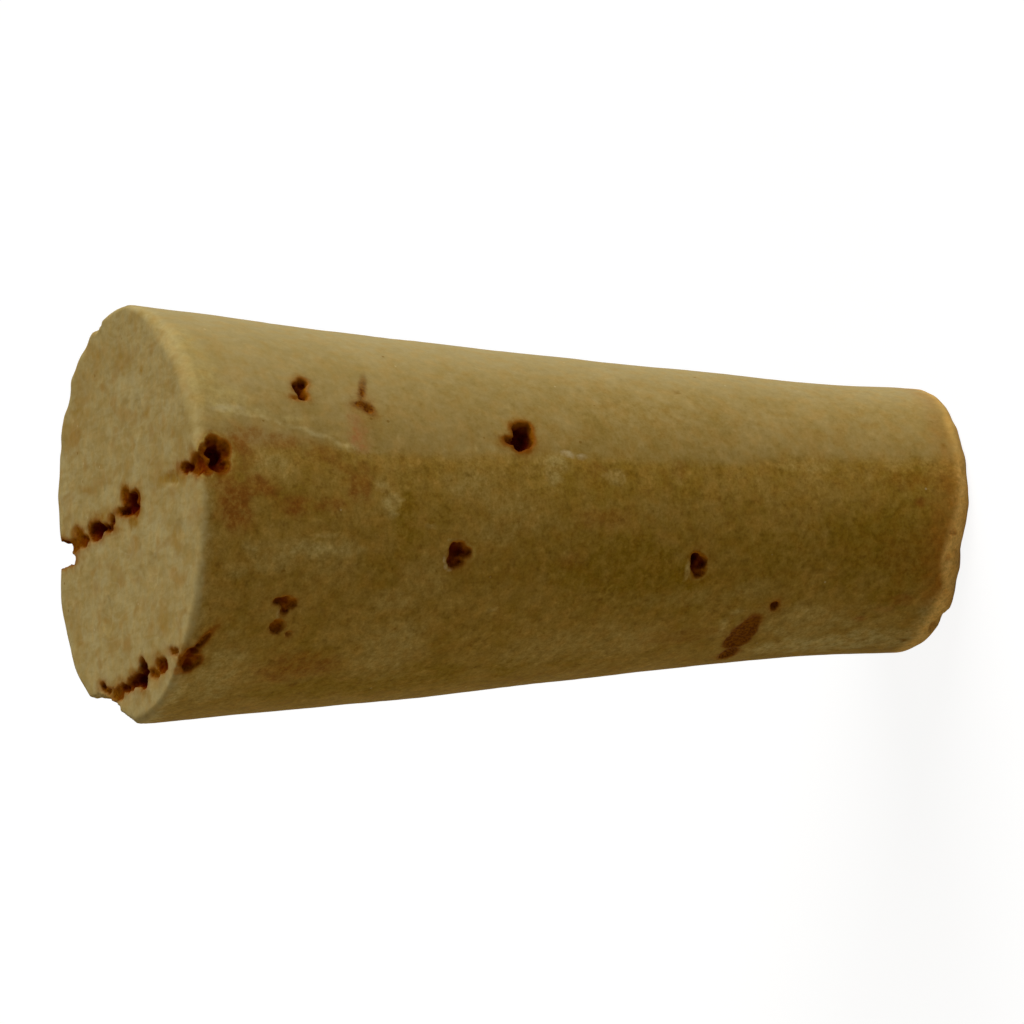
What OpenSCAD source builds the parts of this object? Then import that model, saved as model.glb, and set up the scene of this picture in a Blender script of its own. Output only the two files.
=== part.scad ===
// Long tapered cork stopper, cut from natural bark and worn by use.
// It stands on its foot, the small end: Z = 0 is the foot face, +Z runs along the axis to
// the head, and the front is -Y. The lenticels of the bark run through it from front to
// back. They open as ragged pockets in a line across the head and as pits in the side.

/* [Body] */
// Diameter across the head, the wide end
head_d = 19; // [17.5:0.5:22]
// Diameter across the foot, the narrow end
foot_d = 12.3; // [11.5:0.1:13.5]
// Length from the foot face to the head face
length = 39.5; // [38:0.5:50]
// Height above the foot at which the straight taper starts to ease off
ease_height = 13.5; // [8:0.5:18]
// Slope left on the side at the foot, in degrees
foot_slope = 1.2; // [0:0.2:3]

/* [Rims] */
// Rounding of the head rim
head_round = 0.5; // [0.2:0.1:0.8]
// Rounding of the foot rim on its most worn side
foot_round = 1.5; // [0.8:0.1:2]
// How far the wear of the foot rim sits off centre
wear_offset = 0.35; // [0:0.05:0.5]
// Size of a full chip in the foot rim
chip_size = 0.9; // [0.4:0.1:1.2]

/* [Bark] */
// Angle between the lenticels and the line from front to back
grain_angle = 12.5; // [0:0.5:30]
// Raggedness of the walls of pits and pockets, as a share of their size
ragged = 0.2; // [0:0.02:0.3]

/* [Channels across the head] */
// Distance of the middle channel from the axis
mid_channel = 0.2; // [-1:0.1:1]
// Distance of the side channel from the axis
side_channel = 7.6; // [7:0.1:8]
// Width of a full pocket, across the channel
pocket_w = 1.2; // [0.8:0.1:1.6]
// Length of a full pocket, along the channel
pocket_l = 1.8; // [1.2:0.1:2.2]
// Depth of a full pocket below the head face
pocket_depth = 1.6; // [0.8:0.1:2.4]

/* [Pits in the side] */
// Mouth of a full pit
pit_d = 1.4; // [0.8:0.1:1.8]
// Depth of a full pit
pit_depth = 1.6; // [0.8:0.1:2.4]

/* [Hidden] */

head_r = head_d / 2;
foot_r = foot_d / 2;
foot_rise = tan(foot_slope);
taper = (head_r - foot_r - foot_rise * ease_height / 2) / (length - ease_height / 2);

round_steps = 6;
ease_steps = 8;
lump_sides = 12;
lump_rings = 4;
overshoot = 1;

// Pockets of the middle channel, from the front rim to the back rim: place along the grain
// and shift across it as shares of the head's radius, drop below the head face as a share
// of a full pocket's depth, then width, length and depth as shares of a full pocket
mid_pockets = [
    [-0.98, 0.04, 0.4, 1.3, 1.2, 0.9],
    [-0.92, 0.08, 0, 0.6, 0.8, 0.4],
    [-0.83, 0.03, 0, 0.55, 1, 0.35],
    [-0.16, -0.02, 0, 0.8, 0.7, 0.6],
    [-0.09, 0.02, 0, 1.25, 1.15, 0.9],
    [0.03, 0, 0, 0.5, 1.1, 0.5],
    [0.17, -0.01, 0, 0.5, 0.7, 0.4],
    [0.26, -0.02, 0, 0.45, 1, 0.35],
    [0.4, -0.01, 0, 1, 1.3, 0.7],
    [0.57, -0.01, 0, 0.65, 1.2, 0.35],
    [0.71, -0.01, 0, 0.6, 1, 0.4],
    [0.91, -0.02, 0, 1.3, 2, 1.2],
];

// Pockets of the side channel, listed in the same way, with the bite out of the back rim
side_pockets = [
    [-0.66, 0.08, 0.7, 0.4, 0.9, 0.4],
    [-0.66, -0.03, 0.3, 0.9, 1.3, 0.8],
    [-0.33, 0, 0, 0.85, 1, 0.6],
    [-0.27, -0.03, 0, 0.5, 0.8, 0.4],
    [-0.2, -0.01, 0, 0.5, 0.9, 0.35],
    [-0.11, 0.03, 0, 1.3, 0.65, 0.8],
    [-0.09, -0.04, 0, 0.6, 0.6, 0.7],
    [0.01, -0.01, 0, 0.75, 1.3, 0.7],
    [0.12, 0.03, 0, 0.5, 1, 0.4],
    [0.17, 0, 0, 0.65, 1.2, 0.5],
    [0.27, -0.02, 0, 0.6, 1.1, 0.35],
    [0.39, 0.03, 0, 0.45, 0.9, 0.35],
    [0.47, 0.06, 0, 0.5, 0.7, 0.3],
    [0.42, -0.1, 0, 1.3, 2.2, 0.9],
];

// Lenticels that open in the side: distance across the grain from the axis as a share of the
// head's radius, height as a share of the length, then the lobes of the front mouth and the
// lobes of the back mouth. A lobe has its shift across and its shift up, then its width,
// height and depth, all as shares of a full pit
lenticels = [
    [0.22, 0.582,
        [[0.05, -0.05, 1, 0.8, 0.7], [-0.3, 0.15, 0.6, 0.6, 0.5],
            [0.3, -0.2, 0.5, 0.5, 0.3], [-0.2, 0.5, 0.3, 0.4, 0.3]],
        [[0, 0, 0.7, 0.6, 0.7], [0.2, 0.2, 0.4, 0.3, 0.4]]],
    [-0.36, 0.672,
        [[0.15, 0.05, 0.65, 0.65, 0.6], [-0.15, 0.2, 0.6, 0.5, 0.5], [0.05, -0.3, 0.3, 0.45, 0.3]],
        [[0, 0, 0.5, 0.6, 0.5]]],
    [0.43, 0.853,
        [[0.05, 0.05, 0.6, 0.55, 0.5], [0.3, -0.15, 0.4, 0.5, 0.4],
            [-0.25, 0, 0.45, 0.5, 0.4], [-0.35, 0.3, 0.2, 0.4, 0.2]],
        [[0, 0, 0.7, 0.6, 0.6]]],
    [0.33, 0.775,
        [[0.1, -0.05, 0.5, 0.6, 0.2], [0.8, -0.05, 0.6, 0.2, 0.2]],
        [[0, 0, 0.8, 0.7, 0.8]]],
    [-0.63, 0.886,
        [[0.35, 0.1, 0.3, 0.55, 0.3], [0.15, -0.1, 0.5, 0.4, 0.3],
            [-0.3, 0.05, 0.4, 0.5, 0.25], [-0.55, -0.4, 0.2, 0.3, 0.15]],
        [[0, 0, 0.5, 0.4, 0.4]]],
    [-0.37, 0.362,
        [[0.2, 0.05, 0.45, 0.5, 0.5], [0.05, -0.1, 0.6, 0.6, 0.6], [-0.2, -0.1, 0.45, 0.5, 0.4]],
        [[0, 0, 0.9, 0.8, 0.8]]],
    [-0.64, 0.272,
        [[0, 0, 0.7, 1.05, 0.3], [-0.4, 0.05, 0.2, 0.5, 0.3]],
        [[0, 0, 0.5, 0.4, 0.4]]],
    [-0.53, 0.244,
        [[0, 0, 0.35, 0.35, 0.3]],
        [[0, 0, 0.4, 0.4, 0.4]]],
];

// Pockets in the foot face: place along the grain and shift across it as shares of the
// foot's radius, then width, length and depth as shares of a full pocket
foot_pockets = [
    [-0.6, 0.35, 0.6, 0.5, 0.5],
    [-0.4, 0.33, 0.5, 0.6, 0.4],
    [0.45, 0.37, 0.7, 0.6, 0.5],
];

// Chips out of the foot rim: angle from the front towards +X, share of a full chip
foot_chips = [
    [-6, 0.5],
    [-24, 0.45],
    [-43, 0.6],
    [-55, 0.9],
    [-160, 0.6],
    [118, 0.5],
];

// Radius of the side at height z: a straight taper that eases off towards the foot
function side_r(z) = z >= ease_height
    ? head_r - taper * (length - z)
    : foot_r + foot_rise * z + (taper - foot_rise) * z * z / (2 * ease_height);

// Points of a quarter arc about c, from angle a0 on
function quarter(c, r, a0) = [
    for (k = [0:round_steps]) let (a = a0 + 90 * k / round_steps) c + r * [cos(a), sin(a)]
];

// Half section of the body, with a square foot
function body_section() = concat(
    [[0, 0]],
    [for (k = [0:ease_steps]) let (z = ease_height * k / ease_steps) [side_r(z), z]],
    quarter([side_r(length - head_round) - head_round, length - head_round], head_round, 0),
    [[0, length]]
);

// Half section of the worn outline that rounds the foot rim
function wear_section() = let (r = side_r(foot_round) + wear_offset) concat(
    [[0, 0]],
    quarter([r - foot_round, foot_round], foot_round, -90),
    [[head_r + 2 * wear_offset + overshoot, length], [0, length]]
);

// Corner numbers of the skin of a lump, ring by ring from its lower pole
function lump_faces(n, rings) = let (top = n * rings + 1) concat(
    [for (k = [0:n - 1]) [0, 1 + k, 1 + (k + 1) % n]],
    [for (j = [0:rings - 2], k = [0:n - 1]) let (a = 1 + j * n, b = a + n, k2 = (k + 1) % n)
        each [[a + k, b + k, b + k2], [a + k, b + k2, a + k2]]],
    [for (k = [0:n - 1]) let (a = 1 + (rings - 1) * n) [a + k, top, a + (k + 1) % n]]
);

// Ragged lump about the origin, with the given half sizes and its poles on Z
module lump(half, seed) {
    n = lump_sides;
    reach = rands(1 - ragged, 1 + ragged, n * lump_rings, seed);
    ring_points = [
        for (j = [1:lump_rings], k = [0:n - 1])
            let (
                lat = 180 * j / (lump_rings + 1) - 90,
                lon = 360 * k / n,
                r = pow(cos(lat), 0.6) * reach[(j - 1) * n + k]
            )
            [half.x * r * cos(lon), half.y * r * sin(lon), half.z * sin(lat)]
    ];
    polyhedron(concat([[0, 0, -half.z]], ring_points, [[0, 0, half.z]]),
               lump_faces(n, lump_rings));
}

// Pocket sunk from a level face: place and half sizes in the grain's own directions
module pocket(along, across, z, w, l, d, seed) {
    rotate([0, 0, grain_angle])
        translate([across, along, z])
            lump([pocket_w * w, pocket_l * l, 2 * pocket_depth * d] / 2, seed);
}

module head_channel(offset, pockets, seed) {
    for (i = [0:len(pockets) - 1]) {
        p = pockets[i];
        pocket(head_r * p[0], offset + head_r * p[1], length - pocket_depth * p[2],
               p[3], p[4], p[5], seed + i);
    }
}

// Mouth of a lenticel in the side, at the front (-1) or at the back (+1), lobe by lobe
module mouth(across, height, lobes, way, seed) {
    for (i = [0:len(lobes) - 1]) {
        s = lobes[i];
        x = across + pit_d * s[0];
        z = height + pit_d * s[1];
        rotate([0, 0, grain_angle])
            translate([x, way * sqrt(max(0, pow(side_r(z), 2) - x * x)), z])
                rotate([90, 0, 0])
                    lump([pit_d * s[2], pit_d * s[3], 2 * pit_depth * s[4]] / 2, seed + i);
    }
}

module side_pits() {
    for (i = [0:len(lenticels) - 1]) {
        p = lenticels[i];
        mouth(head_r * p[0], length * p[1], p[2], -1, 200 + 10 * i);
        mouth(head_r * p[0], length * p[1], p[3], 1, 300 + 10 * i);
    }
}

module foot_pits() {
    for (i = [0:len(foot_pockets) - 1]) {
        p = foot_pockets[i];
        pocket(foot_r * p[0], foot_r * p[1], 0, p[2], p[3], p[4], 400 + i);
    }
}

module rim_chips() {
    for (i = [0:len(foot_chips) - 1]) {
        size = chip_size * foot_chips[i][1];
        rotate([0, 0, foot_chips[i][0]])
            translate([0, -foot_r, 0])
                lump([size, size * 0.6, size], 500 + i);
    }
}

// The body: the taper with its rounded head rim, inside the worn outline of the foot
module body() {
    intersection() {
        rotate_extrude($fn = 96)
            polygon(body_section());
        translate([wear_offset, 0, 0])
            rotate_extrude($fn = 96)
                polygon(wear_section());
    }
}

module stopper() {
    color([0.56, 0.48, 0.28])
        difference() {
            body();
            head_channel(mid_channel, mid_pockets, 10);
            head_channel(-side_channel, side_pockets, 100);
            side_pits();
            foot_pits();
            rim_chips();
        }
}

stopper();
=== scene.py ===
"""Looks of the natural cork stopper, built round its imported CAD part.

The stopper stands on its foot: +Z runs to the head and the front is -Y. Its skin is worked out in
millimetres, as a field that is negative inside the cork, and becomes one mesh in metres. Angles are in
degrees from the front towards +X. The grain of the bark, and with it each lenticel, runs from front to
back.
"""

import itertools
import math

import bpy
import numpy as np
from mathutils import Matrix, Vector


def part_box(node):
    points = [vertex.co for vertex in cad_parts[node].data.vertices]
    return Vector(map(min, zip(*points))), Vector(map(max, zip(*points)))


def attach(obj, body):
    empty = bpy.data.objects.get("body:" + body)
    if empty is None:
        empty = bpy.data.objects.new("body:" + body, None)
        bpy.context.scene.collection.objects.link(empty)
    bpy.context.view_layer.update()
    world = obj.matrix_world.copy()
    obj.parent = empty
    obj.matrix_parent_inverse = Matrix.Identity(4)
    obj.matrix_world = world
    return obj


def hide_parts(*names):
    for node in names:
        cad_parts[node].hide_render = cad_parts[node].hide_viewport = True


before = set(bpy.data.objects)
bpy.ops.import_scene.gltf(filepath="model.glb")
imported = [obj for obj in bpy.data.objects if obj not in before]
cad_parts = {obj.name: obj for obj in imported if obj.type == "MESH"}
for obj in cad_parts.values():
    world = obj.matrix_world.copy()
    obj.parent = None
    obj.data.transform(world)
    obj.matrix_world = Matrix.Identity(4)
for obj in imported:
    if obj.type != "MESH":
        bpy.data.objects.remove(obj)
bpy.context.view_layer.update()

MM = 0.001

# ---- The body, in millimetres. Its length and width come from the frame
BOX_LOW, BOX_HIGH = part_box("stopper")
LENGTH = BOX_HIGH.z / MM
WIDEST_R = (BOX_HIGH.x - BOX_LOW.x) / 2 / MM
HEAD_RIM = 0.5
FOOT_R = 6.15
EASE_HEIGHT = 13.5
FOOT_SLOPE = math.radians(1.2)
FOOT_RISE = math.tan(FOOT_SLOPE)
TAPER = (WIDEST_R - FOOT_R - FOOT_RISE * EASE_HEIGHT / 2) / (LENGTH - HEAD_RIM - EASE_HEIGHT / 2)

# Rounding of the two rims, by angle
HEAD_ROUND = [
    (-90, 0.6), (-80, 0.35), (-65, 0.2), (-45, 0.2), (-25, 0.35), (15, 0.35), (35, 0.8), (65, 0.8),
    (80, 0.4), (90, 0.2), (130, 0.4), (160, 0.75), (190, 1.5), (205, 0.6), (230, 0.1), (260, 0.5),
]
FOOT_ROUND = [
    (-90, 1.4), (-62, 1.3), (-52, 1.35), (-46, 1.1), (-41, 1.1), (-34, 1.3), (-15, 1.9), (0, 1.3),
    (15, 0.7), (40, 0.5), (55, 0.3), (90, 0.4), (180, 0.8),
]

# How far the middle leans to -X
BOW = 0.1

# Broad swells of the side: angle, height, half angle, half height, how far each stands out
SWELLS = [
    (90, 10.8, 50, 4.5, 0.16), (90, 36, 50, 4, 0.06), (-90, 25, 50, 3.5, 0.07), (-90, 6, 50, 3, -0.07),
]

# Angle between the grain of the bark and the line from front to back
GRAIN = math.radians(12.5)

# Where a growth ring shows as a bowed line below the head: place in X and height of its lowest
# point, and its spread
RING_X, RING_Z = 1.1, 29.4
RING_SPREAD = 1.3

# ---- The skin. Spacing of the grid, and how far from the surface the skin's noise is worked out
STEP = 0.08
BAND = 0.6
# Triangles in the mesh, and how far round the pits it is kept fine
TRIANGLES = 192000
NEAR_PIT = 0.3
# Cells along each side of a noise's lattice
LATTICE = 64
# Raggedness of carved walls, the sizes of its bumps, and softness of a carved edge
RAGGED = 0.07
COARSE_WALL, FINE_WALL = 0.28, 0.14
SOFT_EDGE = 0.06
# Noise of the whole skin: height, size of its bumps, seed
SKIN_NOISE = [(0.05, 6, 1), (0.02, 1.8, 2), (0.006, 0.4, 3)]
# Noise of the two rims on top of that, and how high the foot's goes. The head's is larger where it is worn
HEAD_RIM_NOISE, WORN_NOISE, FOOT_RIM_NOISE = 0.03, 0.1, 0.06
FOOT_RIM_REACH = 0.9

# Pits in the side. Each has the angle and height of its middle, how strongly the skin round it is
# stained, how pale its lip is, and lumps: shift round the side and shift up from the middle, half size
# round the side, half height, depth and turn in its own plane
PITS = [
    # the open pit above the middle, with its spur towards the head
    (28, 23, 1.0, 0, [
        (0.05, -0.12, 0.68, 0.5, 1.2, 0), (-0.35, 0.12, 0.36, 0.42, 1.0, 0),
        (0.38, 0.15, 0.25, 0.3, 0.7, 0), (0.38, -0.38, 0.36, 0.26, 0.7, 0),
        (-0.28, 0.6, 0.2, 0.36, 0.9, 0), (-0.58, 0.22, 0.18, 0.24, 0.5, 0),
        (-0.15, -0.38, 0.32, 0.26, 0.7, 0),
    ]),
    # the kidney-shaped pit
    (-12, 26.5, 0.45, 0.6, [
        (0.25, 0.08, 0.4, 0.42, 0.6, 0), (-0.18, 0.25, 0.38, 0.36, 0.35, 0),
        (0.1, -0.3, 0.28, 0.36, 0.26, 0), (-0.25, -0.03, 0.3, 0.32, 0.3, 0),
        (0.08, 0.3, 0.3, 0.22, 0.45, 0),
    ]),
    # the small slanted pit near the head
    (40, 33.7, 0.6, 0, [
        (0.42, -0.18, 0.27, 0.26, 0.5, -20), (0.05, 0.1, 0.4, 0.3, 0.9, 0),
        (-0.35, 0, 0.3, 0.28, 0.5, 0), (0.2, -0.1, 0.3, 0.2, 0.6, 0),
        (-0.55, 0.3, 0.07, 0.16, 0.08, 0),
    ]),
    # the T-shaped pit low on the head end, with a shallow one and a dot below it
    (-29, 35, 0.4, 0.2, [
        (0.68, 0.3, 0.16, 0.28, 0.2, 0), (0.66, -0.05, 0.26, 0.34, 0.28, 0),
        (0.5, -0.4, 0.24, 0.24, 0.2, 0), (0.25, -0.1, 0.34, 0.22, 0.26, 0),
        (-0.62, 0.1, 0.36, 0.36, 0.2, 0), (-1.06, -0.53, 0.16, 0.16, 0.1, 0),
    ]),
    # the wedge-shaped pit with the pale lip
    (-18, 14.3, 0.5, 0.4, [
        (0.36, -0.07, 0.3, 0.28, 0.8, 0), (0.1, -0.24, 0.46, 0.38, 0.55, 0),
        (-0.24, -0.25, 0.3, 0.32, 0.36, 0), (0.05, -0.06, 0.38, 0.22, 0.6, 0),
    ]),
    # the dot beside the leaf-shaped patch
    (-37, 9.6, 0.6, 0, [(0.03, 0.05, 0.24, 0.18, 0.35, 0)]),
    # the pit that breaks the head rim
    (17, 38.2, 1.0, 0.8, [
        (0.05, 0.42, 0.48, 0.46, 1.2, 0), (0.5, 0.45, 0.4, 0.45, 0.42, 0),
        (0.2, 0.05, 0.5, 0.38, 0.42, 0), (-0.4, 0.3, 0.45, 0.5, 0.65, 0),
        (0, 1.1, 0.55, 0.45, 0.2, 0), (-0.55, 0.9, 0.4, 0.4, 0.22, 0),
    ]),
    # the end of the side channel on the rim, with its tail
    (-38, 38.3, 0.9, 0, [
        (-0.85, 0.85, 0.45, 0.4, 0.26, 0), (-1.2, 0.7, 0.34, 0.3, 0.35, 0),
        (-0.35, 0.75, 0.34, 0.3, 0.35, -30), (0.1, 0.5, 0.42, 0.15, 0.18, -30),
        (0.55, 0.25, 0.34, 0.13, 0.12, -35), (-0.9, 0.4, 0.34, 0.26, 0.2, 0),
    ]),
    # back mouths of the same lenticels
    (177, 23.1, 0.8, 0, [(0, 0, 0.5, 0.4, 0.9, 0), (0.3, 0.3, 0.3, 0.2, 0.5, 0)]),
    (217, 26.5, 0.4, 0.6, [(0, 0, 0.35, 0.4, 0.7, 0)]),
    (164, 33.7, 0.8, 0, [(0, 0, 0.45, 0.45, 0.9, 0), (-0.4, -0.2, 0.25, 0.2, 0.5, 0)]),
    (170, 30.5, 0.6, 0, [(0, 0, 0.55, 0.45, 1.0, 0), (0.2, 0.5, 0.2, 0.25, 0.5, 0)]),
    (232, 35, 0.4, 0.4, [(0, 0, 0.4, 0.25, 0.5, 0)]),
    (223, 14.2, 0.6, 0.4, [(0, 0, 0.6, 0.55, 1.2, 0), (-0.3, 0.4, 0.35, 0.25, 0.7, 0)]),
    (256, 10.7, 0.5, 0, [(0, 0, 0.5, 0.28, 0.4, 0)]),
    (242, 9.6, 0.4, 0, [(0, 0, 0.28, 0.28, 0.5, 0)]),
]

# Shallow places in the side that are filled with rusty powder, listed in the same way
POWDER = [
    (34, 30.8, 0.4, 0, [(0.12, -0.3, 0.24, 0.3, 0.16, -35), (0.3, 0.05, 0.12, 0.24, 0.1, 0)]),
    (34, 30.8, 0, 0, [(1.22, -0.27, 0.36, 0.06, 0.1, -20)]),
    (-52, 10.5, 0.6, 0.5, [
        (0.7, 0.1, 0.55, 0.42, 0.15, -25), (0.15, 0.25, 0.7, 0.64, 0.2, -10),
        (-0.45, 0.35, 0.65, 0.62, 0.2, 0), (-1.75, 0.3, 0.6, 0.36, 0.25, 0),
    ]),
]

# Channels across the head face. Each has how strongly the skin round it is stained, and pockets: place
# in X and in Y, half sizes in X and in Y, depth
CHANNELS = [
    # the middle channel, in groups of pockets between the front rim and the back rim
    (0.6, [
        (2.15, -7.5, 0.24, 0.8, 0.4), (2.3, -8.9, 0.5, 0.9, 0.3), (0.5, -0.4, 0.5, 0.7, 1.0),
        (0.85, -0.8, 0.28, 0.35, 0.6), (0.8, -1.25, 0.38, 0.5, 0.22), (0.35, -1.3, 0.38, 0.5, 0.25),
        (0.85, 0.05, 0.4, 0.5, 0.2), (0.14, 0.25, 0.18, 0.8, 0.45), (-0.25, 1.75, 0.24, 0.35, 0.3),
        (-0.6, 2.4, 0.16, 0.8, 0.3), (-0.7, 3.7, 0.46, 1.0, 0.6), (-1.15, 5.5, 0.28, 0.9, 0.25),
        (-0.8, 6.0, 0.22, 0.6, 0.1), (-1.45, 6.6, 0.3, 0.7, 0.15), (-1.85, 8.4, 0.62, 1.4, 2.0),
        (-1.5, 7.9, 0.38, 0.95, 1.6), (-2.0, 7.0, 0.28, 0.75, 1.5), (-2.4, 9.6, 0.55, 0.5, 2.0),
    ]),
    # the side channel
    (0.35, [
        (-7.75, 2.75, 0.2, 0.4, 0.22), (-7.97, 2.0, 0.16, 0.5, 0.2), (-8.1, 0.8, 0.3, 0.8, 0.15),
        (-7.8, -0.2, 0.22, 0.85, 0.25), (-7.65, -0.9, 0.28, 0.7, 0.35),
        (-7.45, -1.7, 0.32, 0.8, 0.6), (-7.58, -2.45, 0.3, 0.5, 1.1), (-7.1, -2.6, 0.5, 0.46, 1.3),
        (-7.0, -2.4, 0.4, 0.5, 1.3), (-6.75, -2.3, 0.34, 0.36, 0.8), (-7.05, -3.6, 0.2, 0.6, 0.15),
        (-6.75, -4.65, 0.36, 0.75, 0.27), (-7.1, -4.0, 0.22, 0.5, 0.14),
        (-6.42, -7.6, 0.17, 0.7, 0.5), (-6.1, -8.6, 0.28, 1.0, 0.2), (-6.68, -8.35, 0.18, 0.5, 0.6),
        (-6.4, -8.0, 0.36, 1.1, 0.1), (-7.0, -6.8, 0.16, 0.4, 0.15), (-6.1, -6.2, 0.14, 0.55, 0.12),
    ]),
]

# The bite out of the back rim beyond the side channel, a chip opposite and shallow dents, listed as
# the pockets are
DENTS = [
    (-9.6, 3.2, 1.4, 3.4, 2.2), (-9.75, 0.3, 0.75, 1.6, 1.4), (8.85, 4.1, 0.5, 0.8, 0.6),
    (1.6, -5.8, 0.3, 1.3, 0.06), (-0.6, -6.8, 0.5, 0.7, 0.05), (-2.5, -3.6, 0.9, 0.7, 0.04),
    (4.5, -1.5, 1.2, 0.6, 0.04), (-4.6, 2.2, 1.0, 0.8, 0.04),
]

# Chips out of the foot rim: angle, height, half size
CHIPS = [
    (-5, 1.0, 0.22), (-16, 1.1, 0.26), (-33, 1.0, 0.18), (-53, 0.25, 0.85), (118, 0.3, 0.4),
    (160, 0.5, 0.4), (200, 0.5, 0.45), (250, 0.7, 0.4),
]


def smooth_step(low, high, value):
    """0 at low, 1 at high and smooth between them."""
    share = np.clip((value - low) / (high - low), 0, 1)
    return share * share * (3 - 2 * share)


def smooth_max(a, b, width):
    """The larger of two fields, blended where they are less than the width apart."""
    share = np.clip(0.5 + 0.5 * (a - b) / width, 0, 1)
    return b + (a - b) * share + width * share * (1 - share)


def rounded(a, b, radius):
    """The meeting of two fields, with its edge rounded."""
    edge = np.hypot(np.maximum(a + radius, 0), np.maximum(b + radius, 0))
    return np.minimum(np.maximum(a, b), -radius) + edge


def noise(points, size, seed):
    """Smooth noise between -1 and 1 at points (N x 3), in bumps of about the given size."""
    lattice = np.random.default_rng(seed).uniform(-1, 1, (LATTICE,) * 3).astype(np.float32)
    places = points / np.asarray(size, np.float32)
    cell = np.floor(places).astype(np.int32)
    share = places - cell
    share = share * share * (3 - 2 * share)
    total = np.zeros(len(points), np.float32)
    for corner in itertools.product((0, 1), repeat=3):
        weight = np.prod(np.where(corner, share, 1 - share), axis=1)
        i, j, k = ((cell + corner) % LATTICE).T
        total += weight * lattice[i, j, k]
    return total


def by_angle(table, x, y):
    """A table of angles and values, read at the angle of x and y."""
    return np.interp(np.degrees(np.arctan2(x, -y)), *zip(*table), period=360).astype(np.float32)


def side_radius(z):
    """Radius of the side at height z: a straight taper that eases off towards the foot."""
    eased = FOOT_R + FOOT_RISE * z + (TAPER - FOOT_RISE) * z * z / (2 * EASE_HEIGHT)
    return np.where(z >= EASE_HEIGHT, WIDEST_R - TAPER * (LENGTH - HEAD_RIM - z), eased)


def swells(x, y, z):
    """How far the broad swells push the side out."""
    total = 0
    for angle, height, half_angle, half_height, out in SWELLS:
        off = (np.degrees(np.arctan2(x, -y)) - angle + 180) % 360 - 180
        total = total + out * np.exp(-(off / half_angle) ** 2) * np.exp(-((z - height) / half_height) ** 2)
    return total


def body_field(x, y, z):
    """Distance to the worn body without its hollows, negative inside."""
    lean = BOW * np.sin(np.pi * z / LENGTH)
    side = np.hypot(x + lean, y) - side_radius(z) - swells(x, y, z)
    top = rounded(side, z - LENGTH, by_angle(HEAD_ROUND, x, y))
    return rounded(top, -z, by_angle(FOOT_ROUND, x, y))


# ---- Hollows. A lump is its middle, its three directions and its half sizes


def turned(angle):
    """Directions at an angle from the front: round the side towards +X, up, and out of the side."""
    a = math.radians(angle)
    return np.array([[math.cos(a), math.sin(a), 0], [0, 0, 1], [math.sin(a), -math.cos(a), 0]])


def pit_lumps(angle, height, lumps):
    """The lumps of one pit in the side."""
    made = []
    for shift_round, shift_up, half_round, half_up, depth, turn in lumps:
        level = height + shift_up
        radius = float(side_radius(level))
        axes = turned(angle + math.degrees(shift_round / radius))
        t = math.radians(turn)
        spin = np.array([[math.cos(t), math.sin(t), 0], [-math.sin(t), math.cos(t), 0], [0, 0, 1]])
        made.append((axes[2] * radius + (0, 0, level), spin @ axes, np.array([half_round, half_up, depth])))
    return made


def pocket_lump(x, y, half_x, half_y, depth):
    """A lump sunk in the head face."""
    return np.array([x, y, LENGTH]), np.identity(3), np.array([half_x, half_y, depth])


def chip_lump(angle, height, half):
    """A round lump out of the foot rim."""
    axes = turned(angle)
    return axes[2] * FOOT_R + (0, 0, height), axes, np.array([half, half, half])


def hollow(angle, height, glow, lip, lumps):
    """A pit as its lumps and the strengths of its stain and of its lip."""
    return pit_lumps(angle, height, lumps), glow, lip


CARVED = [([pocket_lump(*pocket) for pocket in pockets], glow, 0) for glow, pockets in CHANNELS]
DEEP = [hollow(*pit) for pit in PITS] + CARVED
SHALLOW = [hollow(*patch) for patch in POWDER]
WORN = [([pocket_lump(*dent) for dent in DENTS] + [chip_lump(*chip) for chip in CHIPS], 0, 0)]


def lump_field(points, lump):
    """Rough distance to a lump, negative inside."""
    centre, axes, half = lump
    reach = np.abs((points - centre) @ axes.T) / half
    return (np.sqrt((reach * reach).sum(axis=1)) - 1) * half[:2].min()


def gap(points, hollows):
    """Rough distance to the nearest lump of some hollows."""
    return np.min([lump_field(points, lump) for lumps, _, _ in hollows for lump in lumps], axis=0)


# ---- The mesh


def carve(field, lump, corner):
    """Takes one ragged lump out of the field."""
    centre, axes, half = lump
    reach = (np.abs(axes) * half[:, None]).sum(axis=0) + 3 * RAGGED + 3 * STEP
    first = np.maximum(np.floor((centre - reach - corner) / STEP), 0).astype(int)
    last = np.minimum(np.ceil((centre + reach - corner) / STEP) + 1, field.shape).astype(int)
    block = tuple(slice(a, b) for a, b in zip(first, last))
    lines = [corner[c] + STEP * np.arange(first[c], last[c]) for c in range(3)]
    points = np.stack(np.meshgrid(*lines, indexing="ij"), axis=-1).reshape(-1, 3)
    wall = lump_field(points, lump)
    wall += RAGGED * (noise(points, COARSE_WALL, 11) + 0.7 * noise(points, FINE_WALL, 12))
    field[block] = smooth_max(field[block], -wall.reshape(field[block].shape), SOFT_EDGE)


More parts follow.
